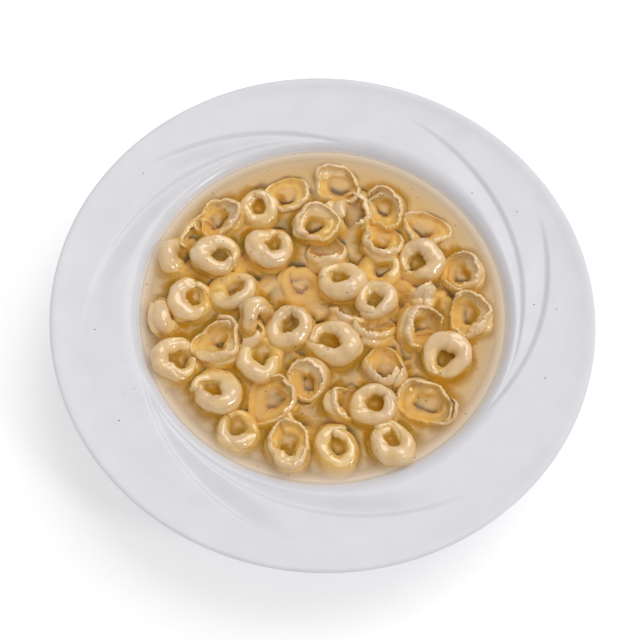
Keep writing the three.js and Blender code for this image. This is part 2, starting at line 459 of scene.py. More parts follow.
@dataclass(frozen=True)
class WetPasta:
    """Wet boiled egg pasta, pale in the air, warmer low on its sides from a broth film and painted shade, and
    veiled by the broth below its level.
    """

    dough: tuple = ((0.3, (0.82, 0.56, 0.24)), (0.52, (0.85, 0.62, 0.31)), (0.75, (0.87, 0.69, 0.41)))
    flecks: tuple = ((0.35, (0.95, 0.92, 0.87)), (0.55, (1.0, 1.0, 1.0)), (0.8, (1.03, 1.03, 1.04)))
    fleck_share: float = 0.7
    filling: tuple = (0.60, 0.42, 0.27)
    filling_shows: tuple = ((0.54, 0.0), (0.70, 0.35))
    clear_height: float = 4.2  # height above the broth at which the broth film and the painted warm shade have given way to the pale top
    # broth film and painted shade: warm and saturated just above the broth, where the lower sides fall in
    # shade, paler and greyer toward the lit tops
    broth_film_and_painted_shade: tuple = (
        (0.0, (1.02, 0.95, 0.72)), (0.3, (1.0, 0.93, 0.73)), (0.6, (0.96, 0.90, 0.78)),
        (1.0, (0.93, 0.885, 0.87)),
    )
    cloud_reach: float = 20.0  # depth at which the broth hides most
    tint: tuple = (
        (0.0, (1.0, 1.0, 1.0)), (0.03, (1.02, 1.01, 0.94)), (0.15, (1.06, 1.0, 0.84)),
        (0.35, (1.0, 0.82, 0.46)), (0.6, (0.84, 0.49, 0.07)), (1.0, (0.66, 0.26, 0.0)),
    )
    veil: tuple = ((0.0, (0.76, 0.56, 0.22)), (0.4, (0.69, 0.43, 0.095)), (1.0, (0.48, 0.24, 0.01)))
    cloud: tuple = ((0.0, 0.0), (0.04, 0.04), (0.25, 0.20), (0.6, 0.60), (1.0, 0.92))
    wetting: float = 0.03  # share of the reach over which the dough loses its shine to the broth
    smoothest: float = 0.20  # least roughness
    grain: float = 0.16  # what the fine grain adds to it

    def colour(self, made: Nodes, fine: Socket, depth: Socket) -> Socket:
        """The dough's colour, in the air and under the broth.

        Args:
            made: the material.
            fine: the fine grain.
            depth: depth under the level, as a share of the reach.

        Returns:
            The colour's socket.
        """
        dough = made.ramp(made.noise(scale=170.0), self.dough)
        dough = made.mix(self.fleck_share, dough, made.ramp(fine, self.flecks), "MULTIPLY")
        shows = made.curve(made.noise(scale=75.0, detail=1.0), self.filling_shows)
        dough = made.mix(shows, dough, self.filling)
        # painted shade, partly the broth's film: the dough is warmer low on its sides and paler toward its
        # tops
        clear = made.ramp(made.depth(-self.clear_height), self.broth_film_and_painted_shade)
        dough = made.mix(1.0, dough, clear, "MULTIPLY")
        dough = made.mix(1.0, dough, made.ramp(depth, self.tint), "MULTIPLY")
        return made.mix(made.curve(depth, self.cloud), dough, made.ramp(depth, self.veil))

    def material(self) -> bpy.types.Material:
        """Makes the material.

        Returns:
            The material.
        """
        made = Nodes("wet_pasta")
        fine = made.noise(scale=1400.0, roughness=0.6)
        depth = made.depth(self.cloud_reach)
        colour = self.colour(made, fine, depth)
        roughness = made.math("ADD", made.math("MULTIPLY", fine, self.grain), self.smoothest)
        broad_normal = made.bump(made.noise(scale=420.0, detail=2.0), distance=0.35, strength=0.4)
        normal = made.bump(fine, distance=0.08, strength=0.3, below=broad_normal)
        shader = made.node("BsdfPrincipled", {"Base Color": colour, "Roughness": roughness, "Normal": normal})
        shader.inputs["IOR"].default_value = 1.42
        shader.inputs["Coat Weight"].default_value = 1.0
        shader.inputs["Coat IOR"].default_value = 1.8
        shader.inputs["Coat Roughness"].default_value = 0.08
        shader.inputs["Subsurface Weight"].default_value = 0.35
        shader.inputs["Subsurface Radius"].default_value = (1.0, 0.62, 0.32)
        shader.inputs["Subsurface Scale"].default_value = 2.0 * MM
        wet = made.spread(depth, {"From Max": self.wetting})
        return made.surface(made.blend(wet, shader, made.node("BsdfDiffuse", {"Color": colour})))


@dataclass(frozen=True)
class BrothSurface:
    """The broth's surface: a liquid's reflections over the cloud that thickens with the depth below it.

    The mesh carries depth_below, the depth as a share of the cloud's, unshaded_share, which is 1 away from
    pasta and 0 beside it, where painted shade darkens the hue and thins the cloud, and edge_near, which is 1
    at the plate.
    """

    # painted shade: the broth's hue beside pasta, darker and more saturated than open broth
    broth_in_painted_shade: tuple = (
        (0.0, (0.86, 0.66, 0.31)), (0.2, (0.82, 0.54, 0.14)), (0.45, (0.75, 0.40, 0.037)),
        (1.0, (0.64, 0.26, 0.004)),
    )
    open_broth: tuple = ((0.0, (0.86, 0.68, 0.46)), (0.3, (0.84, 0.61, 0.33)), (1.0, (0.80, 0.52, 0.215)))
    at_plate: tuple = ((0.0, (0.86, 0.64, 0.36)), (0.5, (0.90, 0.74, 0.54)), (1.0, (0.92, 0.82, 0.72)))
    cloud: tuple = ((0.0, 0.0), (0.1, 0.06), (0.25, 0.25), (0.5, 0.56), (1.0, 0.82))
    cloud_in_painted_shade: float = 0.72  # share of the cloud left in the painted shade beside pasta, so that the darker pasta below shows
    cloud_at_plate: tuple = ((0.0, 0.0), (0.5, 0.42), (0.85, 0.66), (1.0, 0.30))
    clear: tuple = (1.0, 0.97, 0.86, 1.0)
    shine: tuple = (0.80, 0.73, 0.60, 1.0)
    shine_share: float = 0.3

    def material(self) -> bpy.types.Material:
        """Makes the material.

        Returns:
            The material.
        """
        made = Nodes("broth_surface")
        depth = made.attribute("depth_below")
        unshaded = made.attribute("unshaded_share")
        edge = made.attribute("edge_near")
        # painted shade: beside pasta the hue is darker and more saturated, and the cloud thinner
        hue = made.mix(unshaded, made.ramp(depth, self.broth_in_painted_shade), made.ramp(depth, self.open_broth))
        hue = made.mix(edge, hue, made.ramp(edge, self.at_plate))
        left = made.spread(unshaded, {"To Min": self.cloud_in_painted_shade})
        cloud = made.math("MULTIPLY", made.curve(depth, self.cloud), left)
        cloud = made.math("MAXIMUM", cloud, made.curve(edge, self.cloud_at_plate))
        haze = made.node("BsdfDiffuse", {"Color": hue})
        liquid = made.blend(cloud, made.node("BsdfTransparent", {"Color": self.clear}), haze)
        normal = made.bump(made.noise(scale=130.0, detail=2.0), distance=0.25, strength=0.35)
        gloss = made.node("BsdfGlossy", {"Color": self.shine, "Roughness": 0.05, "Normal": normal})
        fresnel = made.node("Fresnel", {"IOR": 1.3, "Normal": normal})
        mirrored = made.math("MULTIPLY", fresnel.outputs[0], self.shine_share)
        return made.surface(made.blend(mirrored, liquid, gloss))


@dataclass(frozen=True)
class GroundPepper:
    """Ground pepper."""

    grain: tuple = ((0.35, (0.035, 0.016, 0.006)), (0.7, (0.20, 0.10, 0.03)))

    def material(self) -> bpy.types.Material:
        """Makes the material.

        Returns:
            The material.
        """
        made = Nodes("ground_pepper")
        colour = made.ramp(made.noise(scale=2500.0, detail=2.0), self.grain)
        return made.surface(made.node("BsdfPrincipled", {"Base Color": colour, "Roughness": 0.6}))


@dataclass(frozen=True)
class WhitePaper:
    """White paper under the plate, lit from within a little."""

    colour: tuple = (0.93, 0.93, 0.935, 1.0)
    glow: float = 0.2

    def material(self) -> bpy.types.Material:
        """Makes the material.

        Returns:
            The material.
        """
        made = Nodes("studio_floor")
        shader = made.node("BsdfPrincipled", {"Base Color": self.colour, "Roughness": 0.9})
        shader.inputs["Emission Color"].default_value = (1.0, 1.0, 1.0, 1.0)
        shader.inputs["Emission Strength"].default_value = self.glow
        return made.surface(shader)


# ---------------------------------------------------------------- plate


@dataclass(frozen=True)
class SwirlArc:
    """One stepped arc of the rim's relief, repeated round the plate."""

    start: float  # degrees from +X towards +Y, where it starts near the lip
    sweep: float  # degrees that it runs clockwise, to the well's edge
    outer: float  # radius where it starts
    bend: float  # how quickly it comes in
    inner: float = WELL_EDGE_RADIUS - 1.5  # radius where it ends
    onset: float = 0.35  # share of its length over which the step grows
    step_start: float = -0.5  # how far inside its line the step starts
    step_end: float = 1.3  # and where it is deepest
    level_again: float = 13.0  # and where the rim has its own height again

    def drop(self, radius: np.ndarray, angle: np.ndarray, repeats: int) -> np.ndarray:
        """Height that the arc takes away.

        Args:
            radius: radii.
            angle: angles in degrees.
            repeats: how often it repeats round the plate.

        Returns:
            Heights in shares of a full step.
        """
        total = np.zeros_like(radius)
        for number in range(repeats):
            along = np.mod(self.start - 360.0 / repeats * number - angle, 360.0) / self.sweep
            still_out = np.clip(1.0 - along, 0.0, 1.0) ** self.bend
            inside = self.inner + (self.outer - WELL_EDGE_RADIUS) * still_out - radius
            onset = smoothstep(0.0, self.onset, along)
            step = smoothstep(self.step_start, self.step_end, inside)
            blend = 1.0 - smoothstep(self.step_end, self.level_again, inside)
            total += np.where(along <= 1.0, onset * step * blend, 0.0)
        return total


@dataclass(frozen=True)
class SoupPlate:
    """The porcelain soup plate: foot, well, rim with swirl relief and rounded lip.

    Its section is given as points of radius and height.
    """

    well: tuple = (
        (0, 7.0), (20, 7.0), (40, 7.0), (62, 7.8), (76, 11.5), (86, 17.5), (92.5, 24.5), (96.5, 31.6),
        (99.5, 34.6),
    )
    rim: tuple = (
        (102.5, 35.8), (108, 36.5), (114, 37.2), (120, 38.0), (126, 38.8), (132, 39.8), (137, 40.8),
        (139.3, 41.0), (140, 40.2), (139.2, 39.0),
    )
    underside: tuple = (
        (132, 36.3), (112, 32.0), (103, 29.8), (97, 21.5), (88, 11.5), (83, 3.0), (82.3, 0.0), (78.5, 0.0),
        (77.5, 2.2), (0, 2.2),
    )
    segments: int = 480
    span_steps: int = 7  # steps that the top's section takes from point to point
    arcs: tuple = (SwirlArc(75, 105, 128, 1.7), SwirlArc(30, 62, 131, 1.15))
    repeats: int = 3
    step: float = 1.0  # depth of a full step of the relief
    most_steps: float = 1.3  # limit where two arcs meet
    relief_start: float = 99.0  # radius where the relief starts
    relief_full: float = 103.0  # and where it has its full depth
    relief_end: float = 138.5
    wet_above: float = 0.6  # how far over the level the well's material, with the broth's colour and its painted brightening, goes on the wall

    def section(self) -> tuple[np.ndarray, int]:
        """The section from the well's centre over the lip to the underside's centre, without the two centres.

        Returns:
            The points as radius and height, and how many belong to the top.
        """
        top = curve_through(self.well + self.rim, self.span_steps)
        under = curve_through(self.underside, 1)
        return np.vstack([top, under])[1:-1], len(top)

    def relief(self, radius: np.ndarray, angle: np.ndarray) -> np.ndarray:
        """Height that the swirls take away from the rim.

        Args:
            radius: radii.
            angle: angles in degrees.

        Returns:
            Heights in millimetres.
        """
        drop = sum(arc.drop(radius, angle, self.repeats) for arc in self.arcs)
        drop = self.step * np.minimum(drop, self.most_steps)
        return drop * smoothstep(self.relief_start, self.relief_full, radius)

    def build(self) -> bpy.types.Object:
        """Makes the plate.

        Returns:
            The plate's object.
        """
        section, top_count = self.section()
        angles = np.linspace(0.0, 360.0, self.segments, endpoint=False)
        radius = np.repeat(section[:, :1], self.segments, axis=1)
        height = np.repeat(section[:, 1:], self.segments, axis=1)
        angle = np.repeat(angles[None, :], len(section), axis=0)
        rows = np.arange(len(section))[:, None]
        on_rim = (rows < top_count) & (radius > self.relief_start) & (radius < self.relief_end)
        height = height - np.where(on_rim, self.relief(radius, angle), 0.0)
        x = radius * np.cos(np.radians(angle))
        y = radius * np.sin(np.radians(angle))
        vertices = np.stack([x, y, height], axis=-1).reshape(-1, 3)
        poles = np.array([[0.0, 0.0, self.well[0][1]], [0.0, 0.0, self.underside[-1][1]]])
        centre = len(vertices)
        faces = grid_faces(len(section), self.segments)
        faces += pole_faces(self.segments, centre - self.segments, centre, centre + 1)
        piece = make_mesh("porcelain_plate", np.vstack([vertices, poles]), faces)
        piece.data.materials.append(Porcelain(under_broth=False).material())
        piece.data.materials.append(Porcelain(under_broth=True).material())
        in_well = int(np.argmax(section[:, 1] > BROTH_LEVEL + self.wet_above)) * self.segments
        for polygon in piece.data.polygons:
            if all(v < in_well or v == centre for v in polygon.vertices):
                polygon.material_index = 1
        return piece

    def wall_radius(self, height: float) -> float:
        """Radius of the well's wall at a height.

        Args:
            height: height above the table.

        Returns:
            The radius.
        """
        top = curve_through(self.well, self.span_steps)
        return float(np.interp(height, top[:, 1], top[:, 0]))


# ---------------------------------------------------------------- tortellini

USUAL_FLARES = {Hem.UP: 60.0, Hem.DOWN: 62.0}  # degrees
USUAL_SIZES = {Hem.UP: 1.06, Hem.DOWN: 1.09}
MOST_ABOVE = 3.2  # by which a piece's top may pass its node's
SHORTEST = 1e-6  # least length that a direction is made from


class Reading(Enum):
    """Where each use reads the noise along the ring, so that no two are alike."""

    TUBE = 0.0
    OUT = 31.0
    TEETH = 55.0
    UP = 77.0
    HEM = 140.0
    CURL = 200.0
    OVAL = 260.0
    TWIST = 320.0


@dataclass(frozen=True)
class Crease:
    """One fold pressed into the dough. Angles are in radians."""

    at_turn: float  # where it lies round the tube
    drift: float  # how fast it wanders round the tube
    start: float  # where along the ring it is deepest
    depth: float


class Unevenness:
    """What differs by chance from one tortellino to the next. The order of the draws decides every shape."""

    crease_count = 7

    def __init__(self, seed: int) -> None:
        """Draws everything.

        Args:
            seed: seed of the draws.
        """
        draw = np.random.default_rng(seed)
        self.overlap = draw.uniform(0.20, 0.60)
        self.wrap = draw.choice([-1.0, 1.0]) * draw.uniform(0.4, 1.3)
        self.squeeze = draw.uniform(-0.06, 0.04)
        self.point = draw.uniform(-0.03, 0.06)
        self.bows = draw.uniform(-0.085, 0.085, 2)
        self.bow_turns = draw.uniform(0.0, FULL_TURN, 2)
        self.creases = []
        for _ in range(self.crease_count):
            at_turn, drift = draw.uniform(0.0, FULL_TURN), draw.uniform(-0.9, 0.9)
            start, depth = draw.uniform(0.0, FULL_TURN), draw.uniform(0.35, 0.8)
            self.creases.append(Crease(at_turn, drift, start, depth))
        self.ruffle_turns = draw.uniform(0.0, FULL_TURN, 3)
        self.curl = draw.uniform(-0.10, 0.30)
        self.oval = draw.uniform(0.0, math.pi)
        self.wobble = Waves(seed, length=9.0, count=7)
        self.dents = Waves(seed + 1, length=7.0)
        self.pits = Waves(seed + 2, length=2.6)

    def read(self, along: np.ndarray, reading: Reading) -> np.ndarray:
        """The noise along the ring.

        Args:
            along: places along the ring.
            reading: the use that it is read for.

        Returns:
            Values of about -1 to 1.
        """
        return self.wobble.at(along + reading.value)


@dataclass(frozen=True)
class Dough:
    """How the dough swells, thins and folds, the same for every piece. Lengths are in millimetres."""

    noise_climb: float = 0.3  # what keeps the noise of the two ends apart
    swelling: float = 0.8  # power by which the tube grows from the pinch to the belly
    tube_wobble: float = 0.05  # share of its radius
    end_start: float = 0.70 * math.pi  # angle from the belly at which the ends begin to part
    point_power: int = 4  # how narrowly the ring reaches out to the pinch
    out_wobble: float = 0.40
    up_wobble: float = 0.45
    end_lift: float = 0.3
    end_lift_by_overlap: float = 1.4
    end_thinning: float = 0.26
    end_swelling: float = 0.10
    cap_start: float = 0.93  # share of the tube's half length at which its end begins to close
    cap_length: float = 0.07  # share over which it closes
    least_cap: float = 0.04  # share of the tube's radius that is left at its end
    oval: float = 0.07  # share by which the tube is out of round
    oval_wobble: float = 0.9
    twist: float = 0.20
    crease_power: float = 1.5  # how quickly a crease fades along the ring
    crease_width: float = 0.17  # radians
    dents: float = 0.26
    pits: float = 0.07
    hem_base: float = math.radians(20.0)  # half of what the hem takes up of the tube's turn
    hem_wobble: float = 0.20
    tail_power: int = 5  # how narrowly the hem's gain keeps to the pinch
    ruffles: tuple = ((9.0, 0.55), (15.0, 0.35), (23.0, 0.25))  # waves round the ring, and their share
    ruffle_out: float = 0.16
    ruffle_across: float = 0.62
    ruffle_power: float = 1.5  # how the ruffles grow toward the edge
    teeth_waves: float = 29.0
    teeth_wobble: float = 0.3
    hem_at_end: float = 0.35  # share of the hem's length left at the tube's ends
    up_curl: float = 0.25
    curl_wobble: float = 0.22
    half_hem: float = 1.5  # half the hem's thickness at its foot
    hem_taper: float = 0.35  # what it loses toward the edge
    half_hem_at_end: float = 0.3  # share of it left at the tube's ends
    edge_rounding: float = 0.7  # share of it left in the edge's last step
    edge_steps: tuple = (1.13, 1.19)  # where that step and the very edge lie, in shares of the length


DOUGH = Dough()


@dataclass(frozen=True)
class Path:
    """The tube's course round the ring, with one value for each section."""

    angle: np.ndarray  # from the belly, past the pinch at both ends
    held: np.ndarray  # the same, held at the pinch
    along: np.ndarray  # places that the noise is read at
    centre_r: np.ndarray
    centre_z: np.ndarray
    tube: np.ndarray  # radius
    cap: np.ndarray  # share of the radius that is left where the ends close
    thin: np.ndarray  # width as a share of round
    tall: np.ndarray  # height as a share of round


@dataclass
class Tortellino:
    """One filled pasta ring. In its own frame the ring lies flat, with the belly at +X and the pinch at -X.

    turn is where the pinch points, lean how far it tips and toward which side is low, in degrees from +X
    to +Y.
    """

    x: float
    y: float
    turn: float
    lean: float
    toward: float
    hem: Hem = Hem.DOWN
    size: float = 1.0
    depth: float | None = None  # of its centre under the level, for a piece with no node of its own
    hem_length: float = 2.4
    teeth: float = 0.0  # depth of the crimps along the hem's edge
    flare: float | None = None  # degrees of the hem above the ring's plane, or None for the usual
    squeeze: float = 0.93  # width of the ring across the pinch, as a share of round
    point: float = 0.14  # share by which the ring reaches out to the pinch
    corners: float = 0.0  # share by which the ring is drawn to three corners, one of them the pinch
    tail: float = 1.9  # what the hem gains at the pinch
    ring_radius: float = 7.7
    belly_radius: float = 5.1
    pinch_radius: float = 3.6

    @property
    def rise(self) -> float:
        """Angle of the hem above the ring's plane, in radians."""
        return math.radians(self.flare or USUAL_FLARES[self.hem])

    def path(self, uneven: Unevenness, stations: int) -> Path:
        """The tube's course.

        Args:
            uneven: the piece's unevenness.
            stations: number of sections.

        Returns:
            The path.
        """
        u = np.linspace(-1.0, 1.0, stations)
        angle = u * (math.pi + uneven.overlap)
        held = np.clip(angle, -math.pi, math.pi)
        along = np.stack([np.cos(angle), np.sin(angle), DOUGH.noise_climb * u], axis=-1) * self.ring_radius
        fullness = ((1.0 + np.cos(held)) / 2.0) ** DOUGH.swelling
        tube = self.pinch_radius + (self.belly_radius - self.pinch_radius) * fullness
        tube *= 1.0 + DOUGH.tube_wobble * uneven.read(along, Reading.TUBE)
        end = smoothstep(DOUGH.end_start, math.pi, np.abs(angle))
        side = np.sign(u) * end
        point = self.point + uneven.point
        reach_out = self.ring_radius * point * ((1.0 - np.cos(held)) / 2.0) ** DOUGH.point_power
        bow = (uneven.bows[0] * np.cos(2.0 * held + uneven.bow_turns[0])
               + uneven.bows[1] * np.cos(3.0 * held + uneven.bow_turns[1]))
        bow = bow - self.corners * np.cos(3.0 * held)
        out = DOUGH.out_wobble * uneven.read(along, Reading.OUT)
        centre_r = self.ring_radius * (1.0 + bow) + reach_out + uneven.wrap * side + out
        lift = (DOUGH.end_lift + DOUGH.end_lift_by_overlap * uneven.overlap) * side
        centre_z = lift + DOUGH.up_wobble * uneven.read(along, Reading.UP)
        closing = np.clip((np.abs(u) - DOUGH.cap_start) / DOUGH.cap_length, 0.0, 1.0)
        cap = np.maximum(np.sqrt(np.clip(1.0 - closing**2, 0.0, 1.0)), DOUGH.least_cap)
        thin = 1.0 - DOUGH.end_thinning * end
        tall = 1.0 + DOUGH.end_swelling * end
        return Path(angle, held, along, centre_r, centre_z, tube, cap, thin, tall)

    def tube_section(self, path: Path, uneven: Unevenness, count: int) -> tuple[np.ndarray, np.ndarray]:
        """The round part of each section, from one side of the hem to the other.

        Args:
            path: the tube's course.
            uneven: the piece's unevenness.
            count: number of points.

        Returns:
            Distances outward and upward from the section's centre.
        """
        turns = np.linspace(self.rise + DOUGH.hem_base, self.rise + FULL_TURN - DOUGH.hem_base, count)
        oval = uneven.oval + DOUGH.oval_wobble * uneven.read(path.along, Reading.OVAL)
        girth = (path.tube * path.cap)[:, None] * (1.0 + DOUGH.oval * np.cos(2.0 * (turns - oval[:, None])))
        for crease in uneven.creases:
            from_start = path.angle - crease.start
            fade = np.maximum(0.0, np.cos(from_start)) ** DOUGH.crease_power
            window = crease.depth * path.cap * fade
            gap = turns - crease.at_turn - (crease.drift * from_start)[:, None]
            gap = np.mod(gap + math.pi, FULL_TURN) - math.pi
            girth -= window[:, None] * np.exp(-((gap / DOUGH.crease_width) ** 2))
        return girth * path.thin[:, None] * np.cos(turns), girth * path.tall[:, None] * np.sin(turns)

    def hem_section(self, path: Path, uneven: Unevenness, count: int) -> tuple[np.ndarray, np.ndarray]:
        """The hem's part of each section, up one side and down the other.

        Args:
            path: the tube's course.
            uneven: the piece's unevenness.
            count: steps from the tube to the edge.

        Returns:
            Distances outward and upward from the section's centre.
        """
        ruffle = sum(share * np.sin(waves * path.angle + turn)
                     for (waves, share), turn in zip(DOUGH.ruffles, uneven.ruffle_turns))
        length = self.hem_length * (1.0 + DOUGH.hem_wobble * uneven.read(path.along, Reading.HEM))
        length = length + self.tail * np.maximum(0.0, -np.cos(path.held)) ** DOUGH.tail_power
        teeth = self.teeth * np.sin(DOUGH.teeth_waves * path.angle + uneven.ruffle_turns[1])
        bite = 1.0 - DOUGH.teeth_wobble + DOUGH.teeth_wobble * uneven.read(path.along, Reading.TEETH)
        length = length + (DOUGH.ruffle_out * ruffle + teeth * bite)
        length = (length * (DOUGH.hem_at_end + (1.0 - DOUGH.hem_at_end) * path.cap))[:, None]
        curl = uneven.curl + (DOUGH.up_curl if self.hem is Hem.UP else 0.0)
        curl = (curl + DOUGH.curl_wobble * uneven.read(path.along, Reading.CURL))[:, None]

        first = 1.0 / (count - 1) if count > 2 else 0.5
        steps = np.append(np.linspace(first, 1.0, count), DOUGH.edge_steps[0])
        shares = np.concatenate([steps, [DOUGH.edge_steps[1]], steps[::-1]])
        half = DOUGH.half_hem - DOUGH.hem_taper * steps
        half[-1] *= DOUGH.edge_rounding
        half = np.concatenate([-half, [0.0], half[::-1]])
        out = (path.tube * path.cap * (path.thin + path.tall) / 2.0)[:, None] + length * shares
        wave = (DOUGH.ruffle_across * ruffle * path.cap)[:, None] * shares**DOUGH.ruffle_power
        left = (DOUGH.half_hem_at_end + (1.0 - DOUGH.half_hem_at_end) * path.cap)[:, None]
        across = curl * length * shares**2 + wave + half * left
        rise = self.rise
        return math.cos(rise) * out - math.sin(rise) * across, math.sin(rise) * out + math.cos(rise) * across

    def points(self, seed: int, cut: Cut) -> np.ndarray:
        """The skin's points in the piece's own frame.

        Args:
            seed: seed of its unevenness.
            cut: how finely it is cut.

        Returns:
            An array of stations by section points by x, y, z.
        """
        uneven = Unevenness(seed)
        stations, round_count, hem_count = cut.value
        path = self.path(uneven, stations)
        skin_r, skin_z = self.tube_section(path, uneven, round_count)
        hem_r, hem_z = self.hem_section(path, uneven, hem_count)
        section_r = np.concatenate([skin_r, hem_r], axis=1)
        section_z = np.concatenate([skin_z, hem_z], axis=1)
        twist = (DOUGH.twist * uneven.read(path.along, Reading.TWIST))[:, None]
        r = path.centre_r[:, None] + section_r * np.cos(twist) - section_z * np.sin(twist)
        z = path.centre_z[:, None] + section_r * np.sin(twist) + section_z * np.cos(twist)
        squeeze = self.squeeze + uneven.squeeze
        angle = path.angle[:, None]
        points = np.stack([r * np.cos(angle), squeeze * r * np.sin(angle), z], axis=-1)
        outward = points - points.mean(axis=1, keepdims=True)
        outward /= np.maximum(np.linalg.norm(outward, axis=-1, keepdims=True), SHORTEST)
        dents = DOUGH.dents * uneven.dents.at(points) + DOUGH.pits * uneven.pits.at(points)
        points = points + outward * (dents * path.cap[:, None])[..., None]
        return points * (self.size * USUAL_SIZES[self.hem])

    def attitude(self) -> np.ndarray:
        """How the piece is turned.

        Returns:
            A 3 by 3 matrix.
        """
        upside = Matrix.Rotation(math.pi if self.hem is Hem.DOWN else 0.0, 3, "X")
        spin = Matrix.Rotation(math.radians(self.turn - 180.0), 3, "Z")
        low = math.radians(self.toward)
        lean = Matrix.Rotation(math.radians(self.lean), 3, Vector((-math.sin(low), math.cos(low), 0.0)))
        return np.array(lean @ spin @ upside)

    def placed(self, seed: int, cut: Cut, middle: np.ndarray | None = None) -> np.ndarray:
        """The skin's points on the plate.

        Args:
            seed: seed of its unevenness.
            cut: how finely it is cut.
            middle: centre of the box that the piece fills, or None to use its own place.

        Returns:
            An array of stations by section points by x, y, z.
        """
        points = self.points(seed, cut) @ self.attitude().T
        if middle is not None:
            flat = points.reshape(-1, 3)
            return points + (middle - (flat.min(axis=0) + flat.max(axis=0)) / 2.0)
        return points + np.array([self.x, self.y, BROTH_LEVEL - (self.depth or 0.0)])


def skin_faces(points: np.ndarray, first: int = 0) -> list:
    """Faces of a tortellino's skin, with its two ends closed.

    Args:
        points: the skin's points.
        first: number of its first vertex.

    Returns:
        The faces.
    """
    rows, columns = points.shape[:2]
    faces = grid_faces(rows, columns, first)
    faces.append(tuple(range(first, first + columns)))
    faces.append(tuple(reversed(range(first + (rows - 1) * columns, first + rows * columns))))
    return faces


# The tortellini that reach the surface, in the order of their nodes.
FLOATING = [
    Tortellino(-40, 57, 80, 16, 250, Hem.DOWN, 0.9, tail=5.0),
    Tortellino(-57, 45, 200, 16, 215, Hem.UP, teeth=0.25, tail=2.6),
    Tortellino(-77, 26, 60, 38, 0, Hem.DOWN, tail=3.2),
    Tortellino(-60, 26, 335, 14, 30, Hem.DOWN),
    Tortellino(-31, 33, 45, 14, 60, Hem.DOWN),
    Tortellino(-7, 50, 215, 12, 320, Hem.UP),
    Tortellino(31, 62, 120, 14, 250, Hem.UP, teeth=0.35),
    Tortellino(30, 38, 165, 24, 75, Hem.UP, 0.95),
    Tortellino(54, 28, 210, 17, 215, Hem.DOWN),
    Tortellino(73, 25, 250, 24, 185, Hem.UP, 0.94, teeth=0.3),
    Tortellino(77, 0, 100, 20, 180, Hem.UP, teeth=0.4, hem_length=3.2),
    Tortellino(52, 9, 300, 66, 100, Hem.UP, 0.82, tail=4.0),
    Tortellino(49, -10, 50, 34, 330, Hem.UP, teeth=0.4, hem_length=2.6, tail=3.5),
    Tortellino(63, -23, 235, 18, 225, Hem.DOWN, corners=0.07, tail=3.6),
    Tortellino(54, -49, 340, 10, 250, Hem.UP, 1.04, teeth=0.3, point=0.30, squeeze=0.92, flare=52,
               hem_length=2.5, corners=0.12, tail=3.8),
    Tortellino(38, -73, 120, 16, 80, Hem.DOWN, 0.92, tail=3.4),
    Tortellino(11, -77, 90, 8, 300, Hem.DOWN, 0.96),
    Tortellino(28, -54, 20, 15, 175, Hem.DOWN, 0.96),
    Tortellino(12, -53, 60, 46, 10, Hem.UP, 0.78),
    Tortellino(32, -33, 310, 22, 95, Hem.UP, 0.96, teeth=0.35, hem_length=3.2),
    Tortellino(29, -15, 200, 42, 80, Hem.UP, 0.86, teeth=0.4),
    Tortellino(4, -22, 170, 10, 150, Hem.DOWN, 1.1, corners=0.05, tail=3.0),
    Tortellino(-22, -12, 60, 15, 210, Hem.DOWN),
    Tortellino(-34, -6, 290, 52, 325, Hem.DOWN, 0.9),
    Tortellino(-47, 4, 20, 21, 150, Hem.DOWN),
    Tortellino(-65, 0, 60, 20, 15, Hem.DOWN),
    Tortellino(-81, -11, 90, 66, 20, Hem.DOWN, 0.88),
    Tortellino(-73, -36, 350, 17, 20, Hem.DOWN),
    Tortellino(-54, -26, 70, 14, 130, Hem.UP, corners=0.11, tail=4.0),
    Tortellino(-31, -33, 90, 14, 60, Hem.DOWN, corners=-0.05),
    Tortellino(-51, -51, 175, 15, 100, Hem.DOWN),
    Tortellino(-40, -73, 110, 12, 60, Hem.DOWN, 0.94),
    Tortellino(-23, -56, 35, 14, 200, Hem.UP, flare=46, hem_length=3.0),
    Tortellino(-4, -42, 270, 22, 240, Hem.UP, 0.92, teeth=0.2),
    Tortellino(-14, -78, 100, 10, 80, Hem.UP, teeth=0.3),
    Tortellino(10, 15, 160, 15, 110, Hem.DOWN),
    Tortellino(25, 3, 250, 15, 130, Hem.DOWN, 0.95),
]

# Those just under the surface, whose depth is that of the ring's centre.
SUNK = [
    Tortellino(29, 24, 30, 10, 225, Hem.DOWN, 0.95, depth=4.6),
    Tortellino(-23, 66, 200, 10, 120, Hem.UP, depth=6.2),
    Tortellino(3, 76, 330, 12, 270, Hem.UP, 1.05, depth=6.0),
    Tortellino(53, 49, 140, 8, 60, Hem.UP, depth=6.0),
    Tortellino(-13, 12, 120, 12, 300, Hem.DOWN, depth=7.5),
    Tortellino(13, -6, 20, 55, 80, Hem.UP, 0.9, depth=8.0),
    Tortellino(-38, 19, 250, 20, 30, Hem.DOWN, depth=8.5),
    Tortellino(0, 31, 90, 34, 100, Hem.UP, depth=8.0),
    Tortellino(9, 56, 180, 62, 350, Hem.DOWN, 0.95, depth=8.5),
    Tortellino(40, 8, 30, 28, 200, Hem.DOWN, depth=9.0),
    Tortellino(-71, 40, 210, 40, 330, Hem.UP, 0.9, depth=9.0),
    Tortellino(17, 62, 300, 46, 210, Hem.UP, depth=8.5),
    Tortellino(61, 2, 80, 30, 270, Hem.DOWN, 0.95, depth=9.5),
    Tortellino(-8, -62, 150, 40, 20, Hem.DOWN, 0.95, depth=9.0),
    Tortellino(-39, -18, 310, 30, 140, Hem.UP, depth=10.0),
    Tortellino(-3, -5, 240, 30, 60, Hem.DOWN, depth=9.0),
    Tortellino(-60, -38, 240, 36, 200, Hem.DOWN, depth=10.0),
]


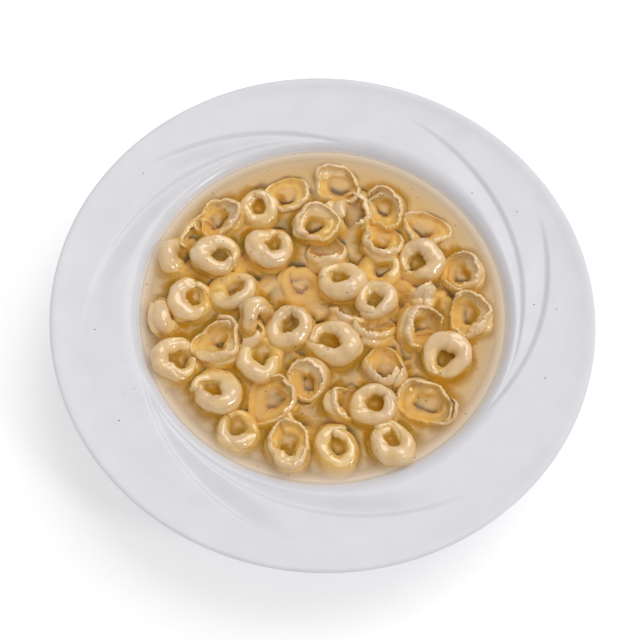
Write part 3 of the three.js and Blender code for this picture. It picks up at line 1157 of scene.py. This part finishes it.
@dataclass(frozen=True)
class DeepLayer:
    """The layer that rests near the well's floor, spread by a seeded rule."""

    seed: int = 11
    pitch: float = 23.0  # distance between pieces in a row
    row_share: float = 0.87  # distance between rows, as a share of the pitch
    rows_each_way: int = 4
    most_shift: float = 3.0
    reach: float = 66.0  # radius that the layer fills
    most_lean: float = 35.0
    up_share: float = 0.4  # share of pieces whose hem is up
    depths: tuple = (15.0, 17.5)

    def pieces(self) -> list[Tortellino]:
        """Spreads the layer.

        Returns:
            Its tortellini.
        """
        draw = np.random.default_rng(self.seed)
        places = range(-self.rows_each_way, self.rows_each_way + 1)
        layer = []
        for row in places:
            for column in places:
                x = (column + 0.5 * (row % 2)) * self.pitch + draw.uniform(-self.most_shift, self.most_shift)
                y = row * self.pitch * self.row_share + draw.uniform(-self.most_shift, self.most_shift)
                if math.hypot(x, y) > self.reach:
                    continue
                turn, lean = draw.uniform(0.0, 360.0), draw.uniform(0.0, self.most_lean)
                toward = draw.uniform(0.0, 360.0)
                hem = Hem.UP if draw.random() < self.up_share else Hem.DOWN
                layer.append(Tortellino(x, y, turn, lean, toward, hem, depth=draw.uniform(*self.depths)))
        return layer


@dataclass(frozen=True)
class Serving:
    """All the tortellini on the plate."""

    floating: list
    sunk: list
    deep: list
    seed: int = 40
    sunk_seed: int = 540

    def build(self) -> list[bpy.types.Object]:
        """Makes one object for each floating piece, and one for all that lie under the surface.

        Returns:
            The objects.
        """
        finish = WetPasta().material()
        pieces = [self.floating_piece(number, tortellino, finish)
                  for number, tortellino in enumerate(self.floating, start=1)]
        pieces.append(self.sunk_piece(finish))
        return pieces

    def floating_piece(self, number: int, tortellino: Tortellino,
                       finish: bpy.types.Material) -> bpy.types.Object:
        """Makes a tortellino in the place of its node.

        Args:
            number: the node's number.
            tortellino: the piece.
            finish: its material.

        Returns:
            Its object.
        """
        node = f"tortellino_{number:02d}"
        low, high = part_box(node)
        middle = (np.array(low) + np.array(high)) / 2.0 / MM
        points = tortellino.placed(self.seed + number, Cut.FINE, middle)
        points[..., 2] -= max(0.0, points[..., 2].max() - high[2] / MM - MOST_ABOVE)
        piece = make_mesh(f"pasta_{number:02d}", points.reshape(-1, 3), skin_faces(points))
        piece.data.materials.append(finish)
        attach(piece, "root")
        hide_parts(node)
        return piece

    def sunk_piece(self, finish: bpy.types.Material) -> bpy.types.Object:
        """Makes everything that lies under the surface.

        Args:
            finish: its material.

        Returns:
            Its object.
        """
        under = [(piece, Cut.MEDIUM) for piece in self.sunk] + [(piece, Cut.COARSE) for piece in self.deep]
        vertices, faces = [], []
        for number, (tortellino, cut) in enumerate(under):
            points = tortellino.placed(self.sunk_seed + number, cut)
            faces += skin_faces(points, len(vertices))
            vertices += list(points.reshape(-1, 3))
        piece = make_mesh("pasta_under_the_surface", np.asarray(vertices), faces)
        piece.data.materials.append(finish)
        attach(piece, "root")
        return piece


# ---------------------------------------------------------------- broth


def joined_tree(pieces: list[bpy.types.Object]) -> BVHTree:
    """One search tree of several pieces.

    Args:
        pieces: the pieces.

    Returns:
        The tree.
    """
    vertices, faces = [], []
    for piece in pieces:
        start = len(vertices)
        vertices += [v.co.copy() for v in piece.data.vertices]
        faces += [[start + i for i in polygon.vertices] for polygon in piece.data.polygons]
    return BVHTree.FromPolygons(vertices, faces)


@dataclass(frozen=True)
class Broth:
    """The broth: its surface, drawn up a little where it meets pasta and glaze, and a closed body below."""

    plate: SoupPlate
    rings: int = 132
    segments: int = 480
    wall_steps: int = 3  # steps of the body's wall between two points of the well's section
    climb: float = 0.95  # height of the meniscus
    reach: float = 1.5  # distance over which it dies away
    meets_wall_above: float = 0.8  # height over the level at which the surface ends at the wall
    wall_start: float = 0.5  # distance from its edge at which the rise toward the wall is full
    wall_share: float = 0.8  # how slowly that rise dies away
    wall_offset: float = 2.0  # how much smaller it is, as a distance
    into_wall: float = 0.15  # how far the surface's edge goes into the glaze
    body_out: float = 0.12  # how far the body goes into it outward
    body_down: float = 0.2  # and downward
    cloud_depth: float = 20.0  # depth at which the cloud is thickest
    ray_start: float = 0.02  # height over the level from which the depth is measured
    deepest: float = 30.0  # depth to which it is measured
    blur_rounds: int = 2
    edge_width: float = 15.0  # width of the paler band along the plate
    open_start: float = 1.5  # distance from pasta at which the painted shade beside pasta begins to fade
    open_end: float = 8.0
    far: float = 20.0  # distance given to a point with no pasta near it
    search: float = 8.0  # distance to which pasta is looked for
    sunk_weight: float = 2.0  # how much less pasta counts for each millimetre under the level

    def build(self, pasta: list[bpy.types.Object], porcelain: bpy.types.Object) -> bpy.types.Object:
        """Makes the broth.

        Args:
            pasta: the tortellini that it meets, those under the surface last.
            porcelain: the plate that holds it.

        Returns:
            The broth's object.
        """
        edge = self.plate.wall_radius(BROTH_LEVEL + self.meets_wall_above) + self.into_wall
        radii = np.linspace(edge / self.rings, edge, self.rings)
        angles = np.linspace(0.0, FULL_TURN, self.segments, endpoint=False)
        x = radii[:, None] * np.cos(angles)[None, :]
        y = radii[:, None] * np.sin(angles)[None, :]
        afloat = joined_tree(pasta[:-1])
        from_pasta = self.distances(afloat, x, y)
        from_wall = np.maximum(edge - self.wall_start - radii, 0.0)[:, None] * self.wall_share
        away = np.minimum(from_pasta, from_wall + self.wall_offset)
        height = BROTH_LEVEL + self.climb * np.exp(-away / self.reach)
        top = np.stack([x, y, height], axis=-1).reshape(-1, 3)
        piece = self.body(top, angles)

        depsgraph = bpy.context.evaluated_depsgraph_get()
        trees = [BVHTree.FromObject(thing, depsgraph) for thing in (pasta[-1], porcelain)]
        looks = {
            "depth_below": self.depths([*trees, afloat], x, y) / self.cloud_depth,
            "edge_near": np.repeat(1.0 - (edge - radii) / self.edge_width, self.segments),
            # painted shade mask: 0 beside pasta, 1 in open broth
            "unshaded_share": smoothstep(self.open_start, self.open_end, from_pasta),
        }
        for name, values in looks.items():
            carried = np.zeros(len(piece.data.vertices))
            carried[: len(top)] = np.clip(values.reshape(-1), 0.0, 1.0)
            if name == "depth_below":
                carried[-2] = carried[0]
            piece.data.attributes.new(name, "FLOAT", "POINT").data.foreach_set("value", carried)
        piece.data.materials.append(BrothSurface().material())
        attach(piece, "root")
        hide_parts("broth")
        return piece

    def body(self, top: np.ndarray, angles: np.ndarray) -> bpy.types.Object:
        """Makes the closed mesh: the surface, and the well's form below it.

        Args:
            top: the surface's vertices, ring by ring from the centre.
            angles: angles of a ring's vertices.

        Returns:
            The object.
        """
        wall = curve_through(self.plate.well, self.wall_steps)
        wall = wall[(wall[:, 1] < BROTH_LEVEL) & (wall[:, 0] > 0)][::-1]
        under = []
        for wall_radius, level in wall:
            radius = wall_radius + self.body_out
            height = np.full(self.segments, level - self.body_down)
            under.append(np.stack([radius * np.cos(angles), radius * np.sin(angles), height], axis=-1))
        vertices = np.vstack([top, *under])
        centre = len(vertices)
        faces = grid_faces(self.rings, self.segments)
        faces += grid_faces(len(under) + 1, self.segments, len(top) - self.segments)
        faces += pole_faces(self.segments, centre - self.segments, centre, centre + 1)
        poles = np.array([[0.0, 0.0, BROTH_LEVEL], [0.0, 0.0, self.plate.well[0][1] - self.body_down]])
        return make_mesh("broth_body", np.vstack([vertices, poles]), faces)

    def depths(self, trees: list[BVHTree], x: np.ndarray, y: np.ndarray) -> np.ndarray:
        """How deep the broth is under each point of its surface, down to the first thing in it.

        Args:
            trees: search trees of what is in it.
            x: the points' x.
            y: the points' y.

        Returns:
            Depths in millimetres, smoothed as a cloudy liquid blurs them.
        """
        found = np.zeros(x.shape)
        start_height = (BROTH_LEVEL + self.ray_start) * MM
        down = Vector((0, 0, -1))
        for i in range(x.shape[0]):
            for k in range(x.shape[1]):
                start = Vector((x[i, k] * MM, y[i, k] * MM, start_height))
                gaps = [tree.ray_cast(start, down, self.deepest * MM)[3] for tree in trees]
                found[i, k] = min((gap for gap in gaps if gap is not None), default=0.0) / MM
        for _ in range(self.blur_rounds):
            found = (np.roll(found, 1, 1) + 2 * found + np.roll(found, -1, 1)) / 4
            found[1:-1] = (found[:-2] + 2 * found[1:-1] + found[2:]) / 4
        return found

    def distances(self, tree: BVHTree, x: np.ndarray, y: np.ndarray) -> np.ndarray:
        """How far each point of the level surface is from a waterline on the pasta.

        Args:
            tree: search tree of the pasta.
            x: the points' x.
            y: the points' y.

        Returns:
            Distances in millimetres.
        """
        found = np.full(x.shape, self.far)
        level = BROTH_LEVEL * MM
        for i in range(x.shape[0]):
            for k in range(x.shape[1]):
                near, _, _, gap = tree.find_nearest((x[i, k] * MM, y[i, k] * MM, level), self.search * MM)
                if near is not None:
                    found[i, k] = gap / MM + self.sunk_weight * max(0.0, level - near.z) / MM
        return found


# ---------------------------------------------------------------- pepper


@dataclass(frozen=True)
class Pepper:
    """Fine flecks of pepper on the broth, the pasta and a few on the rim."""

    count: int = 150
    on_rim: int = 14
    seed: int = 5
    in_well: tuple = (0.0, 94.0)  # radii between which the flecks of the well lie
    rim_band: tuple = (104.0, 132.0)
    drop_height: float = 100.0
    corners: int = 5
    sizes: tuple = (0.16, 0.46)
    turn_shift: float = 0.3  # radians by which a corner may stand out of line
    reaches: tuple = (0.7, 1.3)  # distance of a corner from the middle, as a share of the size
    clear: float = 0.02  # height of the corners over what the fleck lies on
    height_share: float = 0.6  # height of its top, as a share of the size
    sunk_share: float = 0.3  # depth of its underside

    def build(self, surfaces: list[bpy.types.Object]) -> bpy.types.Object:
        """Makes the flecks as one object.

        Args:
            surfaces: what they lie on.

        Returns:
            The flecks' object.
        """
        draw = np.random.default_rng(self.seed)
        depsgraph = bpy.context.evaluated_depsgraph_get()
        trees = [BVHTree.FromObject(piece, depsgraph) for piece in surfaces]
        vertices, faces = [], []
        for number in range(self.count + self.on_rim):
            inner, outer = self.in_well if number < self.count else self.rim_band
            radius = math.sqrt(draw.uniform((inner / outer) ** 2, 1.0)) * outer
            angle = draw.uniform(0.0, FULL_TURN)
            x, y = radius * math.cos(angle) * MM, radius * math.sin(angle) * MM
            start = Vector((x, y, self.drop_height * MM))
            hits = [tree.ray_cast(start, Vector((0, 0, -1))) for tree in trees]
            hits = [hit for hit in hits if hit[0] is not None]
            if not hits:
                continue
            place, normal = max(hits, key=lambda hit: hit[0].z)[:2]
            self.add_fleck(vertices, faces, np.array(place) / MM, np.array(normal), draw)
        piece = make_mesh("pepper_flecks", np.asarray(vertices), faces, smooth=False)
        piece.data.materials.append(GroundPepper().material())
        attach(piece, "root")
        return piece

    def add_fleck(self, vertices: list, faces: list, place: np.ndarray, normal: np.ndarray,
                  draw: np.random.Generator) -> None:
        """Adds one flat angular fleck.

        Args:
            vertices: list that takes its vertices.
            faces: list that takes its faces.
            place: where it lies.
            normal: direction away from the surface.
            draw: random numbers.
        """
        size = draw.uniform(*self.sizes)
        side = np.cross(normal, [1.0, 0.3, 0.1])
        side /= np.linalg.norm(side)
        other = np.cross(normal, side)
        first = len(vertices)
        above, below = first + self.corners, first + self.corners + 1
        for k in range(self.corners):
            turn = FULL_TURN * k / self.corners + draw.uniform(-self.turn_shift, self.turn_shift)
            reach = size * draw.uniform(*self.reaches)
            corner = place + side * reach * math.cos(turn) + other * reach * math.sin(turn)
            vertices.append(corner + normal * self.clear)
        vertices.append(place + normal * size * self.height_share)
        vertices.append(place - normal * size * self.sunk_share)
        for k in range(self.corners):
            m = (k + 1) % self.corners
            faces.append((first + k, first + m, above))
            faces.append((first + m, first + k, below))


# ---------------------------------------------------------------- studio


@dataclass(frozen=True)
class Lamp:
    """A square soft light that faces the plate."""

    name: str
    place: tuple
    width: float
    watts: float
    aim: tuple = (0.0, 0.0, 30.0)

    def build(self) -> None:
        """Adds the light."""
        data = bpy.data.lights.new(self.name, "AREA")
        data.size = self.width * MM
        data.energy = self.watts
        lamp = bpy.data.objects.new(self.name, data)
        lamp.location = Vector(self.place) * MM
        lamp.rotation_euler = (Vector(self.aim) * MM - lamp.location).to_track_quat("-Z", "Y").to_euler()
        bpy.context.scene.collection.objects.link(lamp)


@dataclass(frozen=True)
class Studio:
    """White floor, a white room, soft light from behind on the right, and the camera."""

    floor_half: float = 1600.0
    room_light: float = 0.62
    lamps: tuple = (
        Lamp("key", (900.0, 1250.0, 2100.0), width=2000.0, watts=27.0),
        Lamp("fill", (1900.0, -900.0, 1500.0), width=420.0, watts=8.5),
    )
    camera_place: tuple = (0.0, -220.21, 491.89)
    camera_ahead: tuple = (-0.00279, 0.41691, -0.90894)
    camera_up: tuple = (-0.06042, 0.90721, 0.41631)
    lens: float = 54.76
    sensor_width: float = 36.0
    clip_start: float = 10.0

    def build(self) -> None:
        """Makes the floor, the lights and the camera."""
        half = self.floor_half
        corners = np.array([[-half, -half, 0], [half, -half, 0], [half, half, 0], [-half, half, 0]])
        floor = make_mesh("studio_floor", corners, [(0, 1, 2, 3)])
        floor.data.materials.append(WhitePaper().material())
        world = bpy.data.worlds.new("studio")
        world.use_nodes = True
        room = world.node_tree.nodes["Background"]
        room.inputs["Color"].default_value = (1.0, 1.0, 1.0, 1.0)
        room.inputs["Strength"].default_value = self.room_light
        bpy.context.scene.world = world
        for lamp in self.lamps:
            lamp.build()
        self.aim_camera()
        settings = bpy.context.scene.view_settings
        settings.view_transform = "Standard"
        settings.look = "None"

    def aim_camera(self) -> None:
        """Adds the camera and makes it the scene's."""
        data = bpy.data.cameras.new("camera")
        data.lens = self.lens
        data.sensor_width = self.sensor_width
        data.clip_start = self.clip_start * MM
        camera = bpy.data.objects.new("camera", data)
        ahead = Vector(self.camera_ahead).normalized()
        right = ahead.cross(Vector(self.camera_up)).normalized()
        up = right.cross(ahead)
        turned = Matrix((right, up, -ahead)).transposed().to_4x4()
        turned.translation = Vector(self.camera_place) * MM
        camera.matrix_world = turned
        bpy.context.scene.collection.objects.link(camera)
        bpy.context.scene.camera = camera


def main() -> None:
    """Builds the dish piece by piece."""
    logging.basicConfig(level=logging.INFO, format="%(message)s")
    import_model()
    Studio().build()
    plate = SoupPlate()
    porcelain = plate.build()
    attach(porcelain, "root")
    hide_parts("soup_plate")
    pasta = Serving(FLOATING, SUNK, DeepLayer().pieces()).build()
    broth = Broth(plate).build(pasta, porcelain)
    pepper = Pepper().build([porcelain, broth, *pasta])
    for piece in (porcelain, *pasta, broth, pepper):
        log.info("%s: %d faces", piece.name, len(piece.data.polygons))


if __name__ == "__main__":
    main()
